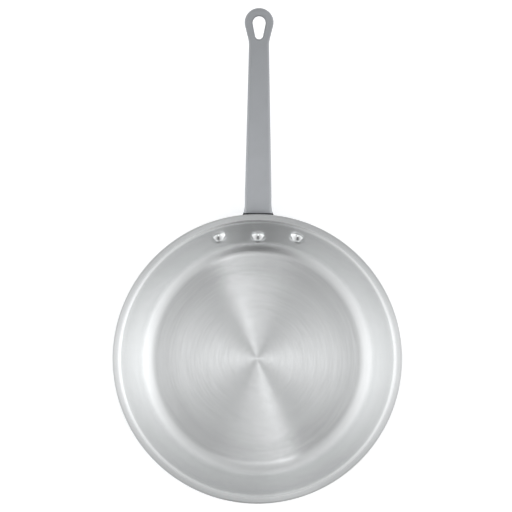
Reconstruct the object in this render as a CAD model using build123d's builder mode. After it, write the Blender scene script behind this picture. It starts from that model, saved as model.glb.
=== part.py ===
from build123d import *
import os
from math import acos, atan2, cos, degrees, radians, sin, sqrt, tan

os.makedirs("parts", exist_ok=True)

# An omelette pan: a dish spun from aluminium plate, a stamped steel handle and three rivets.
# Millimetres, +Z up. The origin is the middle of the flat underside and the handle points to +Y.

# Pan body
rim_diameter = 304.8
pan_height = 48.0
pan_sheet = 3.5
wall_angle = 59.0
corner_radius = 21.5
lip_width = 8.0
lip_slope = 10.0
lip_bend_radius = 8.0
centre_mark_radius = 0.9
centre_mark_depth = 0.4

# Handle strap, a channel open below, its lengths as seen from above
handle_sheet = 2.5
handle_reach = 216.2
root_width = 28.0
root_length = 15.0
root_blend_radius = 300.0
neck_width = 20.9
neck_radius = 25.0
flange_depth = 8.0
flange_edge_radius = 3.0
strap_angle = 18.0
tip_angle = 9.0

# Hanging eye at the tip
eye_outer_radius = 15.2
eye_to_neck = 20.8
hole_setback = 0.4
hole_large_radius = 6.8
hole_small_radius = 4.3
hole_centre_distance = 13.0
hole_edge_radius = 1.0

# Bracket that lies on the outside of the wall
bend_drop = 12.3
bend_radius = 10.0
heel_drop = 29.0
flare_radius = 22.0
flare_cover_share = 0.95
ear_radius = 9.5
tongue_radius = 8.8
plate_edge_radius = 0.8

# Rivets: drops are measured down the wall from the crease under the lip
side_rivet_azimuth = 17.6
side_rivet_drop = 20.2
centre_rivet_drop = 31.0
shank_radius = 3.2
head_radius = 8.4
head_height = 5.6
head_edge = 1.2
head_edge_radius = 0.8
tail_radius = 5.4
tail_height = 3.0
tail_edge = 1.4
seat_sink = 1.2

# How far a cutting or trimming solid runs past what it cuts
overrun = 20.0


def polar(length, angle):
    """A step of this length in a direction given in degrees from the level."""
    return Vector(length * cos(radians(angle)), length * sin(radians(angle)))


# Corners of the pan's inside surface as (radius, height), from the lip down to the floor
rim_radius = rim_diameter / 2
edge_round = pan_sheet / 2
lip_end = Vector(rim_radius - edge_round, pan_height - edge_round) + polar(edge_round, 90 + lip_slope)
crease_radius = rim_radius - lip_width
crease = Vector(crease_radius, lip_end.Y - (lip_end.X - crease_radius) * tan(radians(lip_slope)))
floor_corner = Vector(crease.X - (crease.Y - pan_sheet) / tan(radians(wall_angle)), pan_sheet)

# The same corners on the outside surface, one sheet thickness away
crease_outside = crease + polar(
    pan_sheet / cos(radians((wall_angle - lip_slope) / 2)), (wall_angle + lip_slope) / 2 - 90
)
corner_outside = floor_corner + polar(pan_sheet / cos(radians(wall_angle / 2)), wall_angle / 2 - 90)

# Pan body: floor, corner, wall and flared lip in one spun section
with BuildPart() as pan_body:
    with BuildSketch(Plane.XZ):
        with BuildLine():
            FilletPolyline(
                (centre_mark_radius, pan_sheet), floor_corner, crease, lip_end,
                radius=(corner_radius, lip_bend_radius),
            )
            lip_edge = JernArc(lip_end, polar(1, lip_slope), edge_round, -180)
            FilletPolyline(
                lip_edge @ 1, crease_outside, corner_outside, (0, 0),
                radius=(lip_bend_radius - pan_sheet, corner_radius + pan_sheet),
            )
            Polyline((0, 0), (0, pan_sheet - centre_mark_depth), (centre_mark_radius, pan_sheet))
        make_face()
    revolve(axis=Axis.Z)

# Side view of the handle, in (y, z): where its web leaves the wall, bends outward and runs to the tip
wall_out = wall_angle - 90
wall_outside_top = crease + polar(pan_sheet, wall_out)
web_start = wall_outside_top - polar(bend_drop, wall_angle)
bend_end = web_start + Vector(
    bend_radius * (sin(radians(wall_angle)) - sin(radians(strap_angle))),
    bend_radius * (cos(radians(strap_angle)) - cos(radians(wall_angle))),
)
tip_y = rim_radius + handle_reach
eye_y = tip_y - eye_outer_radius
neck_y = eye_y - eye_to_neck
strap_radius = (neck_y - bend_end.X) / (sin(radians(strap_angle)) - sin(radians(tip_angle)))
inside_pan_y = rim_radius / 2
bracket_reach = rim_radius / 2

# Seen from above at the bend, each flare runs from the strap's side into the middle of the ear's thickness
ear_middle_radius = web_start.X + handle_sheet / 2 / sin(radians(wall_angle))
flare_centre_x = root_width / 2 + flare_radius
flare_start_y = sqrt((ear_middle_radius + flare_radius) ** 2 - flare_centre_x ** 2)
flare_end_x = flare_cover_share * flare_centre_x * ear_middle_radius / (ear_middle_radius + flare_radius)


def below_web(depth):
    """All that lies below the web's upper surface once it is lowered by this depth."""
    with BuildPart() as below:
        with BuildSketch(Plane.YZ):
            with BuildLine():
                start = web_start + polar(depth, wall_out)
                bend = JernArc(start, polar(1, wall_angle), bend_radius - depth, strap_angle - wall_angle)
                strap = JernArc(bend @ 1, bend % 1, strap_radius - depth, tip_angle - strap_angle)
                end = (strap @ 1) + (strap % 1) * (eye_to_neck + eye_outer_radius + overrun)
                Polyline(
                    strap @ 1, end, (end.X, -overrun), (inside_pan_y, -overrun), (inside_pan_y, start.Y),
                    start,
                )
            make_face()
        extrude(amount=bracket_reach, both=True)
    return below.part


def below_flanges():
    """All that lies below the free edges of the side flanges, which drop to the wall in a round heel."""
    strap_low = bend_end + polar(flange_depth, strap_angle - 90)
    heel = wall_outside_top - polar(heel_drop, wall_angle)
    with BuildPart() as below:
        with BuildSketch(Plane.YZ):
            with BuildLine():
                TangentArc(strap_low, heel, tangent=polar(1, strap_angle + 180))
                strap = JernArc(
                    strap_low, polar(1, strap_angle), strap_radius - flange_depth, tip_angle - strap_angle
                )
                end = (strap @ 1) + (strap % 1) * (eye_to_neck + eye_outer_radius + overrun)
                Polyline(
                    strap @ 1, end, (end.X, -overrun), (inside_pan_y, -overrun), (inside_pan_y, heel.Y),
                    heel,
                )
            make_face()
        extrude(amount=bracket_reach, both=True)
    return below.part


def within_wall(clearance):
    """The cone that fills the pan's outer wall, grown by this clearance."""
    low = wall_outside_top + polar(clearance, wall_out) - polar(2 * pan_height, wall_angle)
    high = wall_outside_top + polar(clearance, wall_out) + polar(pan_height, wall_angle)
    with BuildPart() as cone:
        with BuildSketch(Plane.XZ):
            Polygon((0, low.Y), low, high, (0, high.Y), align=None)
        revolve(axis=Axis.Z)
    return cone.part


def strap_block(inset):
    """The strap and its eye plate seen from above, drawn in by the inset, as tall as the pan and handle."""
    neck = Vector(neck_width / 2 - inset, neck_y)
    eye_radius = eye_outer_radius - inset
    from_eye = neck - Vector(0, eye_y)
    touch_angle = degrees(atan2(from_eye.Y, from_eye.X) + acos(eye_radius / from_eye.length))
    root_x = root_width / 2 - inset
    with BuildPart() as block:
        with BuildSketch(Plane.XY):
            with BuildLine():
                FilletPolyline(
                    (0, inside_pan_y), (root_x, inside_pan_y), (root_x, flare_start_y + root_length), neck,
                    Vector(0, eye_y) + polar(eye_radius, touch_angle),
                    radius=(0, root_blend_radius, neck_radius),
                )
                CenterArc((0, eye_y), eye_radius, touch_angle, 90 - touch_angle)
                mirror(about=Plane.YZ)
            make_face()
        extrude(amount=handle_reach)
    return block.part


def eye_hole(margin):
    """The teardrop of the hanging eye seen from above, grown by the margin."""
    with BuildPart() as hole:
        with BuildSketch(Plane.XY):
            with Locations((0, eye_y - hole_setback)):
                Circle(hole_large_radius + margin)
            with Locations((0, eye_y - hole_setback - hole_centre_distance)):
                Circle(hole_small_radius + margin)
            make_hull()
        extrude(amount=handle_reach)
    return hole.part


def flare_block(inset):
    """The root of the strap, flared to both sides into the ears, with its sides parallel to the wall."""
    slope = Vector(0, cos(radians(wall_angle)), sin(radians(wall_angle)))
    with BuildPart() as block:
        with BuildSketch(Plane.XY.offset(web_start.Y)) as plan:
            Circle(ear_middle_radius - inset)
            Rectangle(
                root_width - 2 * inset, flare_start_y + root_length / 4, align=(Align.CENTER, Align.MIN)
            )
            fillet(plan.vertices().group_by(Axis.Y)[-2], flare_radius + inset)
            with Locations((0, rim_radius)):
                Rectangle(2 * flare_end_x, rim_radius, mode=Mode.INTERSECT)
        extrude(amount=pan_height, dir=slope)
        extrude(plan.sketch, amount=pan_height, dir=-slope)
    return block.part


def rivet_plane(azimuth, drop):
    """A plane on the inside of the wall, facing into the pan, turned from +Y and set down from the crease."""
    seat = crease - polar(drop, wall_angle)
    across, along = sin(radians(azimuth)), cos(radians(azimuth))
    rise = sin(radians(wall_angle))
    return Plane(
        origin=(seat.X * across, seat.X * along, seat.Y),
        x_dir=(along, -across, 0),
        z_dir=(-rise * across, -rise * along, cos(radians(wall_angle))),
    )


rivet_planes = [
    rivet_plane(-side_rivet_azimuth, side_rivet_drop),
    rivet_plane(0, centre_rivet_drop),
    rivet_plane(side_rivet_azimuth, side_rivet_drop),
]
rivet_stack = pan_sheet + handle_sheet

# Bracket plate: ears and tongue as a rounded triangle that is pressed to the cone of the wall
bracket_plane = Plane(
    origin=(0, wall_outside_top.X, wall_outside_top.Y),
    x_dir=(1, 0, 0),
    z_dir=(0, sin(radians(wall_angle)), -cos(radians(wall_angle))),
)
ear_centres = [bracket_plane.to_local_coords(plane.origin) for plane in rivet_planes]
with BuildPart() as bracket_plate:
    with BuildSketch(bracket_plane):
        for centre, radius in zip(ear_centres, (ear_radius, tongue_radius, ear_radius)):
            with Locations((centre.X, centre.Y)):
                Circle(radius)
        make_hull()
    extrude(amount=overrun, both=True)
    add(within_wall(handle_sheet), mode=Mode.INTERSECT)
    add(within_wall(0), mode=Mode.SUBTRACT)
    outer_face = bracket_plate.faces().filter_by(GeomType.CONE).sort_by(SortBy.AREA)[-1]
    fillet(outer_face.edges(), plate_edge_radius)


def upper_edges(block):
    """The edges between the upper faces of a block and its sides, from the wall to the tip."""
    upper_faces = block.faces().filter_by(lambda face: face.normal_at().Z > cos(radians(wall_angle)) / 2)
    rims = upper_faces.edges().filter_by(Axis.X, reverse=True)
    return rims.filter_by(lambda edge: edge.center().Y > web_start.X)


def under_web(block, depth, inset):
    """The part of a block that lies below the lowered web and off the wall."""
    with BuildPart() as trimmed:
        add(block)
        add(below_web(depth), mode=Mode.INTERSECT)
        add(within_wall(inset), mode=Mode.SUBTRACT)
    return trimmed.part


# Space under the web and between the side flanges, one sheet thickness in from the outer faces
with BuildPart() as hollow:
    add(under_web(strap_block(handle_sheet), handle_sheet, handle_sheet))
    add(under_web(flare_block(handle_sheet), handle_sheet + flange_edge_radius, handle_sheet))
    add(eye_hole(handle_sheet), mode=Mode.SUBTRACT)

# Handle: strap with rounded upper edges, flares set just below those, eye hole, hollow, bracket plate
with BuildPart() as handle:
    add(under_web(strap_block(0), 0, 0))
    fillet(upper_edges(handle), flange_edge_radius)
    add(under_web(flare_block(0), flange_edge_radius, 0))
    add(below_flanges(), mode=Mode.SUBTRACT)
    add(eye_hole(0), mode=Mode.SUBTRACT)
    hole_edges = handle.edges(Select.LAST)
    fillet(ShapeList(edge for edge in upper_edges(handle) if edge in hole_edges), hole_edge_radius)
    add(hollow.part, mode=Mode.SUBTRACT)
    add(bracket_plate.part)

# Rivet blank, its head's seat at the origin and its head towards +Z
with BuildPart() as rivet:
    with BuildSketch(Plane.XZ) as head_section:
        with BuildLine():
            TangentArc((0, head_height), (head_radius, head_edge), tangent=(1, 0))
            Polyline(
                (head_radius, head_edge), (head_radius, -seat_sink), (shank_radius, -seat_sink),
                (shank_radius, seat_sink - rivet_stack), (tail_radius, seat_sink - rivet_stack),
                (tail_radius, -rivet_stack - tail_edge),
            )
            TangentArc(
                (0, -rivet_stack - tail_height), (tail_radius, -rivet_stack - tail_edge), tangent=(1, 0)
            )
            Line((0, -rivet_stack - tail_height), (0, head_height))
        make_face()
        fillet(head_section.vertices().group_by(Axis.X)[-1].sort_by(Axis.Y)[-1], head_edge_radius)
    revolve(axis=Axis.Z)

for piece in (pan_body, handle):
    with piece:
        with Locations(*rivet_planes):
            Cylinder(shank_radius, 2 * overrun, mode=Mode.SUBTRACT)

with BuildPart() as rivets:
    with Locations(*rivet_planes):
        add(rivet.part)
    add(pan_body.part, mode=Mode.SUBTRACT)
    add(handle.part, mode=Mode.SUBTRACT)

for name, piece in (("pan_body", pan_body), ("handle", handle), ("rivets", rivets)):
    piece.part.label = name
    export_step(piece.part, f"parts/{name}.step")
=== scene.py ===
from math import asin, cos, pi, radians, sin, tan

import bmesh
import bpy
from mathutils import Matrix, Vector


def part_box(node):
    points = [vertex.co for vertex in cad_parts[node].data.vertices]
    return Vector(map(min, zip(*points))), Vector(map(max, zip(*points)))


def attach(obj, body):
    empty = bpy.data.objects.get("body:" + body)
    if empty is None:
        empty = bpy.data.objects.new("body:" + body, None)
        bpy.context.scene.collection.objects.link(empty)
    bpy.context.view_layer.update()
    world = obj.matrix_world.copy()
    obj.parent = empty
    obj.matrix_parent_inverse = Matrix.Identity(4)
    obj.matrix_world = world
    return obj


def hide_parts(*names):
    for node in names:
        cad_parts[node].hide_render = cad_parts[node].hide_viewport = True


bl_info = {
    "name": "Omelette pan",
    "version": (1, 0, 0),
    "blender": (4, 5, 0),
    "location": "3D View > Sidebar > Omelette Pan",
    "description": "Builds a spun aluminium omelette pan with a riveted steel handle",
    "category": "Add Mesh",
}

MM = 0.001

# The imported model, its box before anything is added, and the upper corner of the body's box
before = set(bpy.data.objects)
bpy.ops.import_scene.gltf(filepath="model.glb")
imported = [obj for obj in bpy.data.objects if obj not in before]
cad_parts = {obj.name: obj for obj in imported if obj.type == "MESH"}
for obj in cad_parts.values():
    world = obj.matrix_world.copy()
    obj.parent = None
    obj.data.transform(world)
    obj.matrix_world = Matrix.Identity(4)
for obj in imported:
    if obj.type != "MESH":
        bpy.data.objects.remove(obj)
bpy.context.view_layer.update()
BODY_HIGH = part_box("pan_body")[1]


# Helpers

def linear(code, alpha=1.0):
    """The linear colour of an sRGB hex code."""
    channels = [int(code[i:i + 2], 16) / 255 for i in (0, 2, 4)]
    return [c / 12.92 if c <= 0.04045 else ((c + 0.055) / 1.055) ** 2.4 for c in channels] + [alpha]


def add_node(tree, kind, inputs=None, **settings):
    """Adds a node with its settings; an input takes a value, or an output socket that is linked to it."""
    made = tree.nodes.new(kind)
    for name, value in settings.items():
        setattr(made, name, value)
    for key, value in (inputs or {}).items():
        if isinstance(value, bpy.types.NodeSocket):
            tree.links.new(value, made.inputs[key])
        else:
            made.inputs[key].default_value = value
    return made


def settings_of(context):
    """The pan's settings, which the scene holds."""
    return context.scene.omelette_pan


def add_object(name, data):
    """Puts an object with this data into the scene, at the origin."""
    made = bpy.data.objects.new(name, data)
    bpy.context.scene.collection.objects.link(made)
    return made


def set_inputs(modifier, values):
    """Sets a Geometry Nodes modifier's inputs, found by their names."""
    for item in modifier.node_group.interface.items_tree:
        if item.item_type == "SOCKET" and item.in_out == "INPUT" and item.name in values:
            modifier[item.identifier] = values[item.name]


def run_tree(source, tree, values, name):
    """Runs a node tree on an object and returns its result as a plain mesh object; the source goes."""
    modifier = source.modifiers.new("Build", "NODES")
    modifier.node_group = tree
    set_inputs(modifier, values)
    evaluated = source.evaluated_get(bpy.context.evaluated_depsgraph_get())
    mesh = bpy.data.meshes.new_from_object(evaluated)
    mesh.name = name
    bpy.data.objects.remove(source)
    return add_object(name, mesh)


def finish_piece(piece, node):
    """Rides the piece on the pan and lets it stand for its CAD node."""
    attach(piece, "root")
    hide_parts(node)


# Settings

class PanBodySettings(bpy.types.PropertyGroup):
    """Sizes and colour of the spun body."""

    rim_radius: bpy.props.FloatProperty(
        name="Rim Radius", description="Outside radius of the lip", default=BODY_HIGH.x, unit="LENGTH",
    )
    height: bpy.props.FloatProperty(
        name="Height", description="Height of the lip's edge", default=BODY_HIGH.z, unit="LENGTH",
    )
    sheet: bpy.props.FloatProperty(
        name="Sheet", description="Thickness of the metal", default=3.5 * MM, unit="LENGTH",
    )
    corner_radius: bpy.props.FloatProperty(
        name="Corner Radius", description="Inside radius between floor and wall", default=21.5 * MM,
        unit="LENGTH",
    )
    lip_width: bpy.props.FloatProperty(
        name="Lip Width", description="From the crease to the outer edge, seen from above",
        default=8.0 * MM, unit="LENGTH",
    )
    bend_radius: bpy.props.FloatProperty(
        name="Bend Radius", description="Radius over which the wall bends out into the lip",
        default=8.0 * MM, unit="LENGTH",
    )
    wall_angle: bpy.props.FloatProperty(
        name="Wall Angle", description="Slope of the wall from the level", default=radians(59),
        subtype="ANGLE",
    )
    lip_slope: bpy.props.FloatProperty(
        name="Lip Slope", description="Slope of the lip from the level", default=radians(10),
        subtype="ANGLE",
    )
    steps_around: bpy.props.IntProperty(
        name="Steps Around", description="Faces around the pan", default=288, min=24,
    )
    steps_in_bend: bpy.props.IntProperty(
        name="Steps in a Bend", description="Faces across each rounded bend", default=18, min=2,
    )
    colour: bpy.props.FloatVectorProperty(
        name="Aluminium", description="Colour of the spun aluminium", default=linear("F7F8F8"),
        subtype="COLOR", size=4, min=0, max=1,
    )


class HandleSettings(bpy.types.PropertyGroup):
    """How finely the handle is drawn, and its colour."""

    grid: bpy.props.FloatProperty(
        name="Grid", description="Size of the even faces that the pressed steel is drawn with",
        default=0.7 * MM, unit="LENGTH", precision=4,
    )
    softening: bpy.props.IntProperty(
        name="Softening", description="Passes that round the pressed edges", default=8, min=0,
    )
    colour: bpy.props.FloatVectorProperty(
        name="Plated Steel", description="Colour of the plating", default=linear("C4C6C9"),
        subtype="COLOR", size=4, min=0, max=1,
    )


class RivetSettings(bpy.types.PropertyGroup):
    """Sizes, places and colour of the three rivets."""

    side_azimuth: bpy.props.FloatProperty(
        name="Side Azimuth", description="Turn of each outer rivet from the handle's line",
        default=radians(17.6), subtype="ANGLE",
    )
    side_drop: bpy.props.FloatProperty(
        name="Side Drop", description="From the crease down the wall to an outer rivet",
        default=20.2 * MM, unit="LENGTH",
    )
    centre_drop: bpy.props.FloatProperty(
        name="Centre Drop", description="From the crease down the wall to the centre rivet",
        default=31.0 * MM, unit="LENGTH",
    )
    head_radius: bpy.props.FloatProperty(
        name="Head Radius", description="Radius of the domed head", default=8.4 * MM, unit="LENGTH",
    )
    head_height: bpy.props.FloatProperty(
        name="Head Height", description="Height of the domed head", default=5.6 * MM, unit="LENGTH",
    )
    head_edge: bpy.props.FloatProperty(
        name="Head Edge", description="Upright edge of the head", default=1.2 * MM, unit="LENGTH",
    )
    tail_radius: bpy.props.FloatProperty(
        name="Tail Radius", description="Radius of the set tail outside", default=5.4 * MM,
        unit="LENGTH",
    )
    tail_height: bpy.props.FloatProperty(
        name="Tail Height", description="Height of the set tail", default=3.0 * MM, unit="LENGTH",
    )
    stack: bpy.props.FloatProperty(
        name="Stack", description="Wall and bracket together", default=6.0 * MM, unit="LENGTH",
    )
    sink: bpy.props.FloatProperty(
        name="Sink", description="How deep head and tail sink into the curved sheet",
        default=1.2 * MM, unit="LENGTH",
    )
    steps_around: bpy.props.IntProperty(
        name="Steps Around", description="Faces around each rivet", default=96, min=12,
    )
    steps_in_bend: bpy.props.IntProperty(
        name="Steps in a Bend", description="Faces across each rounded edge", default=12, min=2,
    )
    colour: bpy.props.FloatVectorProperty(
        name="Rivet Aluminium", description="Colour of the rivets", default=linear("F5F6F6"),
        subtype="COLOR", size=4, min=0, max=1,
    )


class StageSettings(bpy.types.PropertyGroup):
    """Floor, light and camera."""

    floor_radius: bpy.props.FloatProperty(
        name="Floor Radius", description="Radius of the pale floor", default=30.0, unit="LENGTH",
    )
    floor_colour: bpy.props.FloatVectorProperty(
        name="Floor", description="Colour of the floor", default=linear("FAFAFA"), subtype="COLOR",
        size=4, min=0, max=1,
    )
    millimetres_per_pixel: bpy.props.FloatProperty(
        name="Millimetres per Pixel", description="Scale of the photograph at the rim", default=1.052,
    )
    camera_height: bpy.props.FloatProperty(
        name="Camera Height", description="From the rim up to the camera", default=14.0, unit="LENGTH",
    )
    camera_roll: bpy.props.FloatProperty(
        name="Camera Roll", description="Turn of the camera about its line of sight",
        default=radians(0.3), subtype="ANGLE",
    )


class OmelettePanSettings(bpy.types.PropertyGroup):
    """All settings of the pan."""

    body: bpy.props.PointerProperty(name="Body", description="The spun body", type=PanBodySettings)
    handle: bpy.props.PointerProperty(name="Handle", description="The handle", type=HandleSettings)
    rivets: bpy.props.PointerProperty(name="Rivets", description="The rivets", type=RivetSettings)
    stage: bpy.props.PointerProperty(name="Stage", description="The stage", type=StageSettings)


# Materials

# The part of a noise's range that is used; a narrower part gives a sharper contrast
SOFT_NOISE = {"From Min": 0.2, "From Max": 0.8}
FAIR_NOISE = {"From Min": 0.25, "From Max": 0.75}
CLEAR_NOISE = {"From Min": 0.3, "From Max": 0.7}
SHARP_NOISE = {"From Min": 0.35, "From Max": 0.65}


def new_material(name):
    """An empty material with a metal shader; returns the material, its tree and the shader."""
    material = bpy.data.materials.new(name)
    material.use_nodes = True
    tree = material.node_tree
    tree.nodes.clear()
    shader = add_node(tree, "ShaderNodeBsdfPrincipled", {"Metallic": 1.0})
    add_node(tree, "ShaderNodeOutputMaterial", {"Surface": shader.outputs["BSDF"]})
    return material, tree, shader


def dress_metal(tree, shader, colour, tone, rough, relief, depth, strength):
    """Gives the metal its colour, darkened by the tone, its roughness and its fine relief."""
    shade = add_node(
        tree, "ShaderNodeVectorMath", {0: colour[:3], "Scale": tone}, operation="SCALE",
    ).outputs["Vector"]
    bump = add_node(
        tree, "ShaderNodeBump", {"Height": relief, "Distance": depth, "Strength": strength},
    ).outputs["Normal"]
    for name, value in (("Base Color", shade), ("Roughness", rough), ("Normal", bump)):
        tree.links.new(value, shader.inputs[name])


def around_axis(tree):
    """Sockets for a point's place, its distance from the axis, the way outward and the way around."""
    place = add_node(tree, "ShaderNodeTexCoord").outputs["Object"]
    flat = add_node(
        tree, "ShaderNodeVectorMath", {0: place, 1: (1, 1, 0)}, operation="MULTIPLY",
    ).outputs["Vector"]
    distance = add_node(tree, "ShaderNodeVectorMath", {0: flat}, operation="LENGTH").outputs["Value"]
    outward = add_node(tree, "ShaderNodeVectorMath", {0: flat}, operation="NORMALIZE").outputs["Vector"]
    around = add_node(
        tree, "ShaderNodeVectorMath", {0: (0, 0, 1), 1: outward}, operation="CROSS_PRODUCT",
    ).outputs["Vector"]
    return place, distance, outward, around


def ring_noise(tree, ring, outward, apart, runs):
    """Noise that runs in arcs around the axis, with this spacing; more runs give shorter arcs."""
    across = add_node(tree, "ShaderNodeMath", {0: ring, 1: 1 / apart}, operation="MULTIPLY").outputs[0]
    along = add_node(
        tree, "ShaderNodeVectorMath", {0: outward, "Scale": runs}, operation="SCALE",
    ).outputs["Vector"]
    lift = add_node(tree, "ShaderNodeCombineXYZ", {"Z": across}).outputs[0]
    place = add_node(tree, "ShaderNodeVectorMath", {0: along, 1: lift}, operation="ADD").outputs["Vector"]
    return add_node(tree, "ShaderNodeTexNoise", {"Vector": place, **RING_NOISE}).outputs["Fac"]


# The noise of all rings, whose spacing comes from its place
RING_NOISE = {"Scale": 1.0, "Detail": 2.0, "Roughness": 0.6}
# Turning marks are about 0.2 mm apart; they are drawn at 0.9 mm, so that they show
MARKS_APART, MARKS_RUNS, MARKS_DEPTH, MARKS_STRENGTH = 0.9 * MM, 2.5, 0.1 * MM, 1.0
MARKS_ROUGHNESS = {"To Min": 0.19, "To Max": 0.23}
MARKS_TONE = {"To Min": 0.94, "To Max": 1.0}
# Slow changes of pressure leave rings about 7 mm wide
BANDS_APART, BANDS_RUNS = 7 * MM, 1.2
BANDS_ROUGHNESS = {"To Min": -0.01, "To Max": 0.01}
# Faint stains of water and oil cloud the metal
STAINS_APART, STAINS_DETAIL = 45 * MM, 3.0
STAINS_TONE = {"To Min": 0.97, "To Max": 1.0}
# The roller leaves the floor and corner coarser than the wall and lip, which it burnishes
BURNISHED = {"From Min": 108 * MM, "From Max": 120 * MM, "To Min": 0.0, "To Max": -0.02}
# The lip is trimmed and wiped down after spinning, which leaves it duller
TRIMMED = {"From Min": 145 * MM, "From Max": 147.5 * MM, "To Min": 0.0, "To Max": 0.2}
# Painted light and shade in rings around the axis, darker round the corner and at the lip's edge and lighter
# in a band up the wall: mm from the axis, tone
RING_REACH = 160 * MM
PAINTED_RING_SHADE = (
    (40, 0.96), (82, 0.88), (95, 0.79), (104, 0.79), (109, 0.75), (113, 0.82), (116, 0.86),
    (120, 0.93), (124, 1.07), (128, 1.02), (133, 0.94), (140, 0.86), (144, 0.91), (147.5, 0.90),
    (149, 0.85), (150.3, 0.85), (151.2, 0.7),
)
# The highlights are stretched as far as the shader can, across the rings: a quarter turn from along them
STRETCH, STRETCH_TURN = 1.0, 0.25


def spun_aluminium(colour):
    """Aluminium 3003, spun on a lathe and left with its turning marks.

    The fine rings stretch every highlight across them, so the flat floor shows the light as a bow tie.
    """
    material, tree, shader = new_material("spun aluminium")
    place, distance, outward, around = around_axis(tree)
    # Height and distance together number the rings on floor, wall and lip alike
    height = add_node(tree, "ShaderNodeSeparateXYZ", {0: place}).outputs["Z"]
    ring = add_node(tree, "ShaderNodeMath", {0: distance, 1: height}, operation="ADD").outputs[0]
    marks = ring_noise(tree, ring, outward, MARKS_APART, MARKS_RUNS)
    bands = ring_noise(tree, ring, outward, BANDS_APART, BANDS_RUNS)
    stains = add_node(
        tree, "ShaderNodeTexNoise", {"Vector": place, "Scale": 1 / STAINS_APART, "Detail": STAINS_DETAIL},
    ).outputs["Fac"]
    rough = add_node(
        tree, "ShaderNodeMapRange", {"Value": marks, **FAIR_NOISE, **MARKS_ROUGHNESS},
    ).outputs[0]
    uneven = add_node(
        tree, "ShaderNodeMapRange", {"Value": bands, **CLEAR_NOISE, **BANDS_ROUGHNESS},
    ).outputs[0]
    burnished = add_node(
        tree, "ShaderNodeMapRange", {"Value": distance, **BURNISHED}, interpolation_type="SMOOTHSTEP",
    ).outputs[0]
    trimmed = add_node(tree, "ShaderNodeMapRange", {"Value": distance, **TRIMMED}).outputs[0]
    for change in (uneven, burnished, trimmed):
        rough = add_node(tree, "ShaderNodeMath", {0: rough, 1: change}, operation="ADD").outputs[0]
    tone = add_node(tree, "ShaderNodeMapRange", {"Value": marks, **SOFT_NOISE, **MARKS_TONE}).outputs[0]
    stained = add_node(
        tree, "ShaderNodeMapRange", {"Value": stains, **SHARP_NOISE, **STAINS_TONE},
    ).outputs[0]
    reach = add_node(tree, "ShaderNodeMapRange", {"Value": distance, "From Max": RING_REACH}).outputs[0]
    # The rings of painted light and shade, set by distance from the axis
    painted_rings = add_node(tree, "ShaderNodeValToRGB", {0: reach})
    stops = painted_rings.color_ramp.elements
    # A new ramp has two stops already
    for radius, level in PAINTED_RING_SHADE[2:]:
        stops.new(radius * MM / RING_REACH)
    for stop, (radius, level) in zip(stops, PAINTED_RING_SHADE):
        stop.position = radius * MM / RING_REACH
        stop.color = (level, level, level, 1)
    for factor in (stained, painted_rings.outputs["Color"]):
        tone = add_node(tree, "ShaderNodeMath", {0: tone, 1: factor}, operation="MULTIPLY").outputs[0]
    dress_metal(tree, shader, colour, tone, rough, marks, MARKS_DEPTH, MARKS_STRENGTH)
    tree.links.new(around, shader.inputs["Tangent"])
    shader.inputs["Anisotropic"].default_value = STRETCH
    shader.inputs["Anisotropic Rotation"].default_value = STRETCH_TURN
    return material


# Soft clouds in the plating, and its fine orange peel
CLOUDS_APART, CLOUDS_DETAIL = 16 * MM, 4.0
CLOUDS_ROUGHNESS = {"To Min": 0.60, "To Max": 0.68}
CLOUDS_TONE = {"To Min": 0.94, "To Max": 1.02}
PEEL_APART, PEEL_DETAIL, PEEL_DEPTH, PEEL_STRENGTH = 0.8 * MM, 3.0, 0.02 * MM, 0.5
# Painted shade: the plating is drawn darker where the press has rounded the sheet outwards
EDGE_PAINTED_SHADE = {"From Min": 0.505, "From Max": 0.54, "To Min": 1.0, "To Max": 0.7}
# A painted shadow darkens the web where it dives under the lip, between these distances from the axis
OFF_WALL = {"From Min": 149.5 * MM, "From Max": 151.5 * MM}
UNDER_LIP = {"From Min": 153.1 * MM, "From Max": 153.7 * MM, "To Min": 1.0, "To Max": 0.0}
FACING_UP = {"From Min": 0.2, "From Max": 0.4}
LIP_SHADOW_TONE = {"To Min": 1.0, "To Max": 0.12}
# Painted shade darkens the plating towards the tip
TIP_PAINTED_SHADE = {"From Min": 190 * MM, "From Max": 330 * MM, "To Min": 1.0, "To Max": 0.77}


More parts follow.
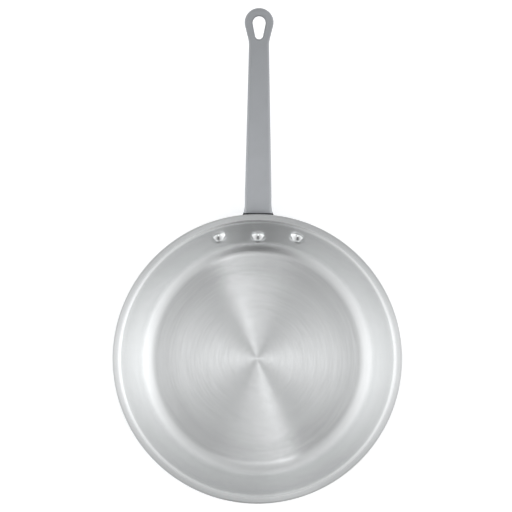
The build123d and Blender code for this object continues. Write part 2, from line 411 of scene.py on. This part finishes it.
def plated_steel(colour):
    """Mild steel, pressed and dull nickel plated: an even grey with soft clouds and a fine orange peel."""
    material, tree, shader = new_material("plated steel")
    place = add_node(tree, "ShaderNodeTexCoord").outputs["Object"]
    clouds = add_node(
        tree, "ShaderNodeTexNoise", {"Vector": place, "Scale": 1 / CLOUDS_APART, "Detail": CLOUDS_DETAIL},
    ).outputs["Fac"]
    peel = add_node(
        tree, "ShaderNodeTexNoise", {"Vector": place, "Scale": 1 / PEEL_APART, "Detail": PEEL_DETAIL},
    ).outputs["Fac"]
    rough = add_node(
        tree, "ShaderNodeMapRange", {"Value": clouds, **CLEAR_NOISE, **CLOUDS_ROUGHNESS},
    ).outputs[0]
    tone = add_node(tree, "ShaderNodeMapRange", {"Value": clouds, **CLEAR_NOISE, **CLOUDS_TONE}).outputs[0]
    surface = add_node(tree, "ShaderNodeNewGeometry").outputs
    # Painted shade on the rounded edges of the pressed sheet
    edge = add_node(tree, "ShaderNodeMapRange", {"Value": surface["Pointiness"], **EDGE_PAINTED_SHADE}).outputs[0]
    along = add_node(tree, "ShaderNodeSeparateXYZ", {0: place}).outputs["Y"]
    upward = add_node(tree, "ShaderNodeSeparateXYZ", {0: surface["Normal"]}).outputs["Z"]
    # The painted shadow of the lip, on the upward faces of the web just outside the wall
    lip_shadow_mask = add_node(tree, "ShaderNodeMapRange", {"Value": along, **UNDER_LIP}).outputs[0]
    off_wall = add_node(tree, "ShaderNodeMapRange", {"Value": along, **OFF_WALL}).outputs[0]
    facing_up = add_node(tree, "ShaderNodeMapRange", {"Value": upward, **FACING_UP}).outputs[0]
    for factor in (off_wall, facing_up):
        lip_shadow_mask = add_node(tree, "ShaderNodeMath", {0: lip_shadow_mask, 1: factor}, operation="MULTIPLY").outputs[0]
    lip_shadow = add_node(tree, "ShaderNodeMapRange", {"Value": lip_shadow_mask, **LIP_SHADOW_TONE}).outputs[0]
    # Painted shade, darker towards the tip
    tip_shade = add_node(tree, "ShaderNodeMapRange", {"Value": along, **TIP_PAINTED_SHADE}).outputs[0]
    for factor in (edge, lip_shadow, tip_shade):
        tone = add_node(tree, "ShaderNodeMath", {0: tone, 1: factor}, operation="MULTIPLY").outputs[0]
    dress_metal(tree, shader, colour, tone, rough, peel, PEEL_DEPTH, PEEL_STRENGTH)
    return material


# The die leaves faint dents in the rivets
DENTS_APART, DENTS_DETAIL, DENTS_DEPTH, DENTS_STRENGTH = 2.6 * MM, 2.0, 0.12 * MM, 0.5
DENTS_ROUGHNESS = {"To Min": 0.08, "To Max": 0.14}
DENTS_TONE = {"To Min": 0.93, "To Max": 1.0}
# Painted shade darkens the foot of each head where the wall is near, as far out as this
FOOT_SHADE_REACH, FOOT_SHADE_SAMPLES = 3 * MM, 8
FOOT_SHADE_TONE = {"From Min": 0.25, "From Max": 0.6, "To Min": 0.75, "To Max": 1.0}


def polished_aluminium(colour):
    """Soft aluminium rivets, tumbled bright and struck with a die: smooth domes with faint dents."""
    material, tree, shader = new_material("polished rivet aluminium")
    place = add_node(tree, "ShaderNodeTexCoord").outputs["Object"]
    dents = add_node(
        tree, "ShaderNodeTexNoise", {"Vector": place, "Scale": 1 / DENTS_APART, "Detail": DENTS_DETAIL},
    ).outputs["Fac"]
    rough = add_node(
        tree, "ShaderNodeMapRange", {"Value": dents, **CLEAR_NOISE, **DENTS_ROUGHNESS},
    ).outputs[0]
    tone = add_node(tree, "ShaderNodeMapRange", {"Value": dents, **CLEAR_NOISE, **DENTS_TONE}).outputs[0]
    # Painted shade from occlusion round the foot of each head
    open_sky = add_node(
        tree, "ShaderNodeAmbientOcclusion", {"Distance": FOOT_SHADE_REACH}, samples=FOOT_SHADE_SAMPLES,
    ).outputs["AO"]
    foot_shade = add_node(tree, "ShaderNodeMapRange", {"Value": open_sky, **FOOT_SHADE_TONE}).outputs[0]
    tone = add_node(tree, "ShaderNodeMath", {0: tone, 1: foot_shade}, operation="MULTIPLY").outputs[0]
    dress_metal(tree, shader, colour, tone, rough, dents, DENTS_DEPTH, DENTS_STRENGTH)
    return material


# Geometry trees

# Points nearer to each other than this are merged
SAME_POINT = 0.001 * MM
# Inputs of the lathe, as (name, kind, default)
LATHE_INPUTS = (
    ("Steps Around", "NodeSocketInt", 96), ("Steps in a Bend", "NodeSocketInt", 8),
    ("Path Radius", "NodeSocketFloat", 1.0), ("Material", "NodeSocketMaterial", None),
)


def new_tree(name, inputs):
    """A geometry tree with these inputs beside its geometry; returns it and the sockets that it is given."""
    tree = bpy.data.node_groups.new(name, "GeometryNodeTree")
    for direction in ("INPUT", "OUTPUT"):
        tree.interface.new_socket(name="Geometry", in_out=direction, socket_type="NodeSocketGeometry")
    for label, kind, default in inputs:
        made = tree.interface.new_socket(name=label, in_out="INPUT", socket_type=kind)
        if default is not None:
            made.default_value = default
    return tree, add_node(tree, "NodeGroupInput").outputs


def end_tree(tree, geometry, material):
    """Ends a tree with real geometry that wears the material."""
    real = add_node(tree, "GeometryNodeRealizeInstances", {"Geometry": geometry}).outputs["Geometry"]
    dressed = add_node(
        tree, "GeometryNodeSetMaterial", {"Geometry": real, "Material": material},
    ).outputs["Geometry"]
    add_node(tree, "NodeGroupOutput", {"Geometry": dressed})


def lathe_tree():
    """Spins an open section, drawn as (radius, height) with a rounding for each corner, around Z."""
    tree, given = new_tree("Spun Section", LATHE_INPUTS)
    # Each section point carries its rounding in its radius
    rounded = add_node(
        tree, "GeometryNodeFilletCurve",
        {"Curve": given["Geometry"], "Count": given["Steps in a Bend"],
         "Radius": add_node(tree, "GeometryNodeInputRadius").outputs[0], "Limit Radius": True},
        mode="POLY",
    ).outputs["Curve"]
    # The path runs at its own radius, so the section is set back by that much and turned to stand up
    back = add_node(
        tree, "ShaderNodeMath", {0: given["Path Radius"], 1: -1.0}, operation="MULTIPLY",
    ).outputs[0]
    shift = add_node(tree, "ShaderNodeCombineXYZ", {"X": back}).outputs[0]
    section = add_node(
        tree, "GeometryNodeTransform", {"Geometry": rounded, "Translation": shift, "Rotation": (pi, 0, 0)},
    ).outputs["Geometry"]
    path = add_node(
        tree, "GeometryNodeCurvePrimitiveCircle",
        {"Resolution": given["Steps Around"], "Radius": given["Path Radius"]},
    ).outputs["Curve"]
    path = add_node(tree, "GeometryNodeSetCurveNormal", {"Curve": path}, mode="Z_UP").outputs["Curve"]
    spun = add_node(
        tree, "GeometryNodeCurveToMesh", {"Curve": path, "Profile Curve": section},
    ).outputs["Mesh"]
    closed = add_node(
        tree, "GeometryNodeMergeByDistance", {"Geometry": spun, "Distance": SAME_POINT},
    ).outputs["Geometry"]
    smooth = add_node(
        tree, "GeometryNodeSetShadeSmooth", {"Geometry": closed, "Shade Smooth": True},
    ).outputs["Geometry"]
    end_tree(tree, smooth, given["Material"])
    return tree


def rivet_tree(lathe):
    """Sets a spun section on every point of a mesh, its axis along the point's seat direction."""
    tree, given = new_tree("Set Rivets", (("Section", "NodeSocketObject", None), *LATHE_INPUTS))
    section = add_node(tree, "GeometryNodeObjectInfo", {"Object": given["Section"]}).outputs["Geometry"]
    blank = add_node(
        tree, "GeometryNodeGroup",
        {"Geometry": section, **{name: given[name] for name, kind, default in LATHE_INPUTS}},
        node_tree=lathe,
    )
    seat = add_node(
        tree, "GeometryNodeInputNamedAttribute", {"Name": "seat"}, data_type="FLOAT_VECTOR",
    ).outputs["Attribute"]
    turn = add_node(
        tree, "FunctionNodeAlignRotationToVector", {"Vector": seat}, axis="Z",
    ).outputs["Rotation"]
    placed = add_node(
        tree, "GeometryNodeInstanceOnPoints",
        {"Points": given["Geometry"], "Instance": blank.outputs[0], "Rotation": turn},
    ).outputs["Instances"]
    end_tree(tree, placed, given["Material"])
    return tree


# Sections

# The centre mark of the lathe, as (distance from the axis, depth, rounding) in mm
CENTRE_MARK = ((0, 0.4, 0), (0.5, 0.3, 0.3), (1.0, 0, 0.3))
# The lip's edge is rounded by nearly half the sheet, because two full halves would meet in one point
FULL_ROUND = 0.999
# A rivet's dome is drawn in this many steps, and the edge of its head is broken
DOME_STEPS, HEAD_ROUNDING = 12, 0.8 * MM
# The foot of the head curls in to the wall: where it starts, its rounding, how far in and how deep it goes
FOOT_HEIGHT, FOOT_ROUNDING, FOOT_INSET, FOOT_DIP = 0.35 * MM, 0.2 * MM, 0.7 * MM, 0.1 * MM
# The shank as a share of the head, and the flat end of the tail as a share of the tail
SHANK_SHARE, TAIL_FLAT_SHARE = 0.6, 0.55


def section_curve(name, points):
    """An open section as a curve, from (radius, height, rounding) points."""
    curve = bpy.data.curves.new(name, "CURVE")
    curve.dimensions = "3D"
    line = curve.splines.new("POLY")
    line.points.add(len(points) - 1)
    for point, (radius, height, rounding) in zip(line.points, points):
        point.co = (radius, height, 0, 1)
        point.radius = rounding
    return add_object(name, curve)


def lip_corners(body):
    """Where wall and lip meet inside, and the upper corner of the lip's end, as (radius, height)."""
    slope = body.lip_slope
    middle = Vector((body.rim_radius, body.height)) - body.sheet / 2 * Vector((1, 1))
    edge = middle + body.sheet / 2 * Vector((cos(slope) - sin(slope), sin(slope) + cos(slope)))
    radius = body.rim_radius - body.lip_width
    return Vector((radius, edge.y - (edge.x - radius) * tan(slope))), edge


def body_section(body):
    """Corners of the pan's section with their roundings, from the middle of the floor to the underside."""
    sheet, wall, slope = body.sheet, body.wall_angle, body.lip_slope
    crease, edge = lip_corners(body)
    floor_corner = Vector((crease.x - (crease.y - sheet) / tan(wall), sheet))
    across = sheet * Vector((sin(slope), -cos(slope)))

    def below(corner, first, second):
        """The corner of the outside that lies under an inside corner between two slopes."""
        middle = (first + second) / 2
        return corner + sheet / cos((second - first) / 2) * Vector((sin(middle), -cos(middle)))

    edge_round = FULL_ROUND * sheet / 2
    mark = [(radius * MM, sheet - depth * MM, rounding * MM) for radius, depth, rounding in CENTRE_MARK]
    return mark + [
        (*floor_corner, body.corner_radius),
        (*crease, body.bend_radius),
        (*edge, edge_round),
        (*(edge + across), edge_round),
        (*below(crease, wall, slope), body.bend_radius - sheet),
        (*below(floor_corner, 0, wall), body.corner_radius + sheet),
        (0, 0, 0),
    ]


def rivet_section(rivet):
    """Half of a set rivet's outline, its head's seat at height 0: domed head, shank and flattened tail."""
    rise = rivet.head_height - rivet.head_edge
    sphere = (rivet.head_radius ** 2 + rise ** 2) / (2 * rise)
    reach = asin(rivet.head_radius / sphere)
    turns = [reach * step / DOME_STEPS for step in range(DOME_STEPS)]
    dome = [(sphere * sin(turn), rivet.head_height - sphere * (1 - cos(turn)), 0) for turn in turns]
    foot_radius, shank_radius = rivet.head_radius - FOOT_INSET, SHANK_SHARE * rivet.head_radius
    tail_seat, tail_round = rivet.sink - rivet.stack, 0.5 * rivet.tail_height
    tail_end = -rivet.stack - rivet.tail_height
    return dome + [
        (rivet.head_radius, rivet.head_edge, HEAD_ROUNDING),
        (rivet.head_radius, FOOT_HEIGHT, FOOT_ROUNDING),
        (foot_radius, -FOOT_DIP, 0),
        (foot_radius, -rivet.sink, 0),
        (shank_radius, -rivet.sink, 0),
        (shank_radius, tail_seat, 0),
        (rivet.tail_radius, tail_seat, 0),
        (rivet.tail_radius, -rivet.stack - tail_round, tail_round),
        (TAIL_FLAT_SHARE * rivet.tail_radius, tail_end, tail_round),
        (0, tail_end, 0),
    ]


# Pieces

# Each softening pass moves a point this share of the way to the middle of its neighbours
SOFTENING_SHARE = 0.5


class PAN_OT_body(bpy.types.Operator):
    """Spin the pan's body from its section"""

    bl_idname = "pan.make_body"
    bl_label = "Make Body"

    def execute(self, context):
        body = settings_of(context).body
        section = section_curve("body_section", body_section(body))
        piece = run_tree(section, lathe_tree(), {
            "Steps Around": body.steps_around, "Steps in a Bend": body.steps_in_bend,
            "Path Radius": body.rim_radius, "Material": spun_aluminium(body.colour),
        }, "spun_body")
        finish_piece(piece, "pan_body")
        return {"FINISHED"}


class PAN_OT_handle(bpy.types.Operator):
    """Draw the pressed steel handle with soft edges"""

    bl_idname = "pan.make_handle"
    bl_label = "Make Handle"

    def execute(self, context):
        handle = settings_of(context).handle
        shape = bmesh.new()
        shape.from_mesh(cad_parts["handle"].data)
        bmesh.ops.remove_doubles(shape, verts=shape.verts, dist=SAME_POINT)
        mesh = bpy.data.meshes.new("handle_form")
        shape.to_mesh(mesh)
        shape.free()
        form = add_object("handle_form", mesh)
        even = form.modifiers.new("Even Faces", "REMESH")
        even.mode = "VOXEL"
        even.voxel_size = handle.grid
        even.use_smooth_shade = True
        soft = form.modifiers.new("Soft Edges", "SMOOTH")
        soft.factor = SOFTENING_SHARE
        soft.iterations = handle.softening
        evaluated = form.evaluated_get(bpy.context.evaluated_depsgraph_get())
        piece = add_object("pressed_handle", bpy.data.meshes.new_from_object(evaluated))
        bpy.data.objects.remove(form)
        piece.data.materials.clear()
        piece.data.materials.append(plated_steel(handle.colour))
        finish_piece(piece, "handle")
        return {"FINISHED"}


class PAN_OT_rivets(bpy.types.Operator):
    """Set the three rivets through wall and bracket"""

    bl_idname = "pan.make_rivets"
    bl_label = "Make Rivets"

    def execute(self, context):
        body, rivet = settings_of(context).body, settings_of(context).rivets
        crease = lip_corners(body)[0]
        wall = body.wall_angle
        points = bpy.data.meshes.new("rivet_seats")
        places, seats = [], []
        for azimuth, drop in (
            (-rivet.side_azimuth, rivet.side_drop),
            (0, rivet.centre_drop),
            (rivet.side_azimuth, rivet.side_drop),
        ):
            radius, height = crease.x - drop * cos(wall), crease.y - drop * sin(wall)
            places.append((radius * sin(azimuth), radius * cos(azimuth), height))
            seats.append((-sin(wall) * sin(azimuth), -sin(wall) * cos(azimuth), cos(wall)))
        points.from_pydata(places, [], [])
        attribute = points.attributes.new("seat", "FLOAT_VECTOR", "POINT")
        attribute.data.foreach_set("vector", [value for seat in seats for value in seat])
        section = section_curve("rivet_section", rivet_section(rivet))
        piece = run_tree(add_object("rivet_seats", points), rivet_tree(lathe_tree()), {
            "Section": section, "Steps Around": rivet.steps_around, "Steps in a Bend": rivet.steps_in_bend,
            "Path Radius": rivet.head_radius, "Material": polished_aluminium(rivet.colour),
        }, "set_rivets")
        bpy.data.objects.remove(section)
        finish_piece(piece, "rivets")
        return {"FINISHED"}


# Stage

# The floor's outline, its soft sheen, and the glow that lifts it to the photograph's white
FLOOR_SEGMENTS, FLOOR_ROUGHNESS, FLOOR_GLOSS, FLOOR_LIFT = 96, 0.9, 0.1, 0.3
# The light tent's levels by height, which is the upward part of a direction: its roof and its low walls
ROOF = {"From Min": 0.82, "From Max": 0.98, "To Min": 0.80, "To Max": 0.55}
LOW_WALLS = {"From Min": 0.05, "From Max": 0.5, "To Min": 0.18, "To Max": 0.0}
# What each side adds: (axis, direction, narrowness, gain, share of it low down, height where it ends)
SIDES = (
    ("X", 1.0, 5.2, 0.62, 1.12, 0.999), ("X", -1.0, 5.2, 0.62, 0.76, 0.999),
    ("Y", -1.0, 14.0, -0.64, 1.0, 0.86), ("Y", 1.0, 8.0, -0.17, 1.0, 0.86),
)
# Below the first height a side has its low share and above the second all of its gain; it fades out
# from this share of the height where it ends
SIDE_LOW, SIDE_HIGH, SIDE_FADE = 0.3, 0.95, 0.97
# A panel and a narrow strip in the roof run from front to back: (azimuth, half width) in degrees, gain
PANELS = ((86, 13.5, 0.54), (105.5, 5.5, 1.8))
# Their long edges are soft by so many degrees each way, and their ends fade with height
PANEL_SOFTNESS = 1
PANEL_ENDS = (
    {"From Min": 0.85, "From Max": 0.92, "To Min": 0.0, "To Max": 1.0},
    {"From Min": 0.975, "From Max": 0.992, "To Min": 1.0, "To Max": 0.0},
)
# The photograph's width and height in pixels, and where it shows the middle of the rim
PIXELS, RIM_X, RIM_Y = 512, 257.35, 358.95
SENSOR_WIDTH, CAMERA_REACH = 36.0, 100.0


def fade_by_height(tree, value, up, bands):
    """Multiplies a value by a level that changes smoothly over each band of heights."""
    for band in bands:
        level = add_node(
            tree, "ShaderNodeMapRange", {"Value": up, **band}, interpolation_type="SMOOTHSTEP",
        ).outputs[0]
        value = add_node(tree, "ShaderNodeMath", {0: value, 1: level}, operation="MULTIPLY").outputs[0]
    return value


class PAN_OT_stage(bpy.types.Operator):
    """Lay the floor and set the lights and the camera"""

    bl_idname = "pan.make_stage"
    bl_label = "Make Stage"

    def execute(self, context):
        stage = settings_of(context).stage
        self.make_floor(stage)
        self.make_world(context)
        self.make_camera(context, stage, settings_of(context).body.height)
        context.scene.view_settings.view_transform = "Standard"
        return {"FINISHED"}

    def make_floor(self, stage):
        """A pale paper floor, matt, so that it takes only the pan's soft shadow."""
        mesh = bpy.data.meshes.new("floor")
        shape = bmesh.new()
        bmesh.ops.create_circle(
            shape, cap_ends=True, radius=stage.floor_radius, segments=FLOOR_SEGMENTS,
        )
        shape.to_mesh(mesh)
        shape.free()
        floor = add_object("floor", mesh)
        material = bpy.data.materials.new("pale paper floor")
        material.use_nodes = True
        tree = material.node_tree
        shader = tree.nodes["Principled BSDF"]
        shader.inputs["Base Color"].default_value = stage.floor_colour
        shader.inputs["Roughness"].default_value = FLOOR_ROUGHNESS
        shader.inputs["Specular IOR Level"].default_value = FLOOR_GLOSS
        # What the camera and the metal see of it is lifted to the photograph's white; its shadow stays
        path = add_node(tree, "ShaderNodeLightPath").outputs
        seen = path["Is Camera Ray"]
        for kind in ("Is Glossy Ray", "Is Transmission Ray"):
            seen = add_node(
                tree, "ShaderNodeMath", {0: seen, 1: path[kind]}, operation="MAXIMUM",
            ).outputs[0]
        lift = add_node(tree, "ShaderNodeMath", {0: seen, 1: FLOOR_LIFT}, operation="MULTIPLY").outputs[0]
        glow = add_node(tree, "ShaderNodeEmission", {"Color": linear("FFFFFF"), "Strength": lift})
        lifted = add_node(tree, "ShaderNodeAddShader", {0: shader.outputs[0], 1: glow.outputs[0]})
        tree.links.new(lifted.outputs[0], tree.nodes["Material Output"].inputs["Surface"])
        mesh.materials.append(material)

    def make_world(self, context):
        """A light tent: bright left and right, dimmer behind the handle and darkest where one stands."""
        world = bpy.data.worlds.new("studio")
        context.scene.world = world
        world.use_nodes = True
        tree = world.node_tree
        tree.nodes.clear()
        way = add_node(tree, "ShaderNodeTexCoord").outputs["Generated"]
        up = add_node(tree, "ShaderNodeSeparateXYZ", {0: way}).outputs["Z"]
        flat = add_node(
            tree, "ShaderNodeVectorMath", {0: way, 1: (1, 1, 0)}, operation="MULTIPLY",
        ).outputs["Vector"]
        flat = add_node(tree, "ShaderNodeVectorMath", {0: flat}, operation="NORMALIZE").outputs["Vector"]
        ways = add_node(tree, "ShaderNodeSeparateXYZ", {0: flat}).outputs
        roof, low_walls = (
            add_node(
                tree, "ShaderNodeMapRange", {"Value": up, **band}, interpolation_type="SMOOTHSTEP",
            ).outputs[0]
            for band in (ROOF, LOW_WALLS)
        )
        added = [low_walls]
        for axis, direction, narrowness, gain, low_share, end in SIDES:
            facing = add_node(
                tree, "ShaderNodeMath", {0: ways[axis], 1: direction}, operation="MULTIPLY",
            ).outputs[0]
            facing = add_node(tree, "ShaderNodeMath", {0: facing, 1: 0.0}, operation="MAXIMUM").outputs[0]
            facing = add_node(
                tree, "ShaderNodeMath", {0: facing, 1: narrowness}, operation="POWER",
            ).outputs[0]
            added.append(fade_by_height(tree, facing, up, (
                {"From Min": SIDE_LOW, "From Max": SIDE_HIGH, "To Min": low_share, "To Max": 1.0},
                {"From Min": SIDE_FADE * end, "From Max": end, "To Min": gain, "To Max": 0.0},
            )))
        for azimuth, half_width, gain in PANELS:
            across = add_node(
                tree, "ShaderNodeVectorMath",
                {0: flat, 1: (sin(radians(azimuth)), -cos(radians(azimuth)), 0)}, operation="DOT_PRODUCT",
            ).outputs["Value"]
            across = add_node(tree, "ShaderNodeMath", {0: across}, operation="ABSOLUTE").outputs[0]
            outside = sin(radians(half_width + PANEL_SOFTNESS))
            inside = sin(radians(half_width - PANEL_SOFTNESS))
            panel = add_node(
                tree, "ShaderNodeMapRange",
                {"Value": across, "From Min": outside, "From Max": inside, "To Min": 0.0, "To Max": gain},
            ).outputs[0]
            added.append(fade_by_height(tree, panel, up, PANEL_ENDS))
        level = roof
        for part in added:
            level = add_node(tree, "ShaderNodeMath", {0: level, 1: part}, operation="ADD").outputs[0]
        room = add_node(
            tree, "ShaderNodeBackground", {"Color": linear("F9FAFB"), "Strength": level},
        ).outputs[0]
        add_node(tree, "ShaderNodeOutputWorld", {"Surface": room})

    def make_camera(self, context, stage, rim_height):
        """A camera straight above, far enough up that it sees the rim and the floor nearly at one scale."""
        data = bpy.data.cameras.new("camera")
        camera = add_object("camera", data)
        scale = stage.millimetres_per_pixel * MM
        data.sensor_width = SENSOR_WIDTH
        data.lens = data.sensor_width * stage.camera_height / (PIXELS * scale)
        data.clip_end = CAMERA_REACH
        offset = Vector((PIXELS / 2 - RIM_X, RIM_Y - PIXELS / 2))
        offset = Matrix.Rotation(stage.camera_roll, 2) @ offset * scale
        camera.location = (*offset, rim_height + stage.camera_height)
        camera.rotation_euler = (0, 0, stage.camera_roll)
        context.scene.camera = camera


class PAN_PT_panel(bpy.types.Panel):
    """Sizes, colours and steps of the omelette pan"""

    bl_label = "Omelette Pan"
    bl_space_type = "VIEW_3D"
    bl_region_type = "UI"
    bl_category = "Omelette Pan"

    def draw(self, context):
        settings = settings_of(context)
        for operator, group in (
            (PAN_OT_body, settings.body), (PAN_OT_handle, settings.handle),
            (PAN_OT_rivets, settings.rivets), (PAN_OT_stage, settings.stage),
        ):
            box = self.layout.box()
            for name in group.__annotations__:
                box.prop(group, name)
            box.operator(operator.bl_idname)


CLASSES = (
    PanBodySettings, HandleSettings, RivetSettings, StageSettings, OmelettePanSettings,
    PAN_OT_body, PAN_OT_handle, PAN_OT_rivets, PAN_OT_stage, PAN_PT_panel,
)


def register():
    for made in CLASSES:
        bpy.utils.register_class(made)
    bpy.types.Scene.omelette_pan = bpy.props.PointerProperty(type=OmelettePanSettings)


def unregister():
    del bpy.types.Scene.omelette_pan
    for made in reversed(CLASSES):
        bpy.utils.unregister_class(made)


def main():
    register()
    bpy.ops.pan.make_body()
    bpy.ops.pan.make_handle()
    bpy.ops.pan.make_rivets()
    bpy.ops.pan.make_stage()


if __name__ == "__main__":
    main()
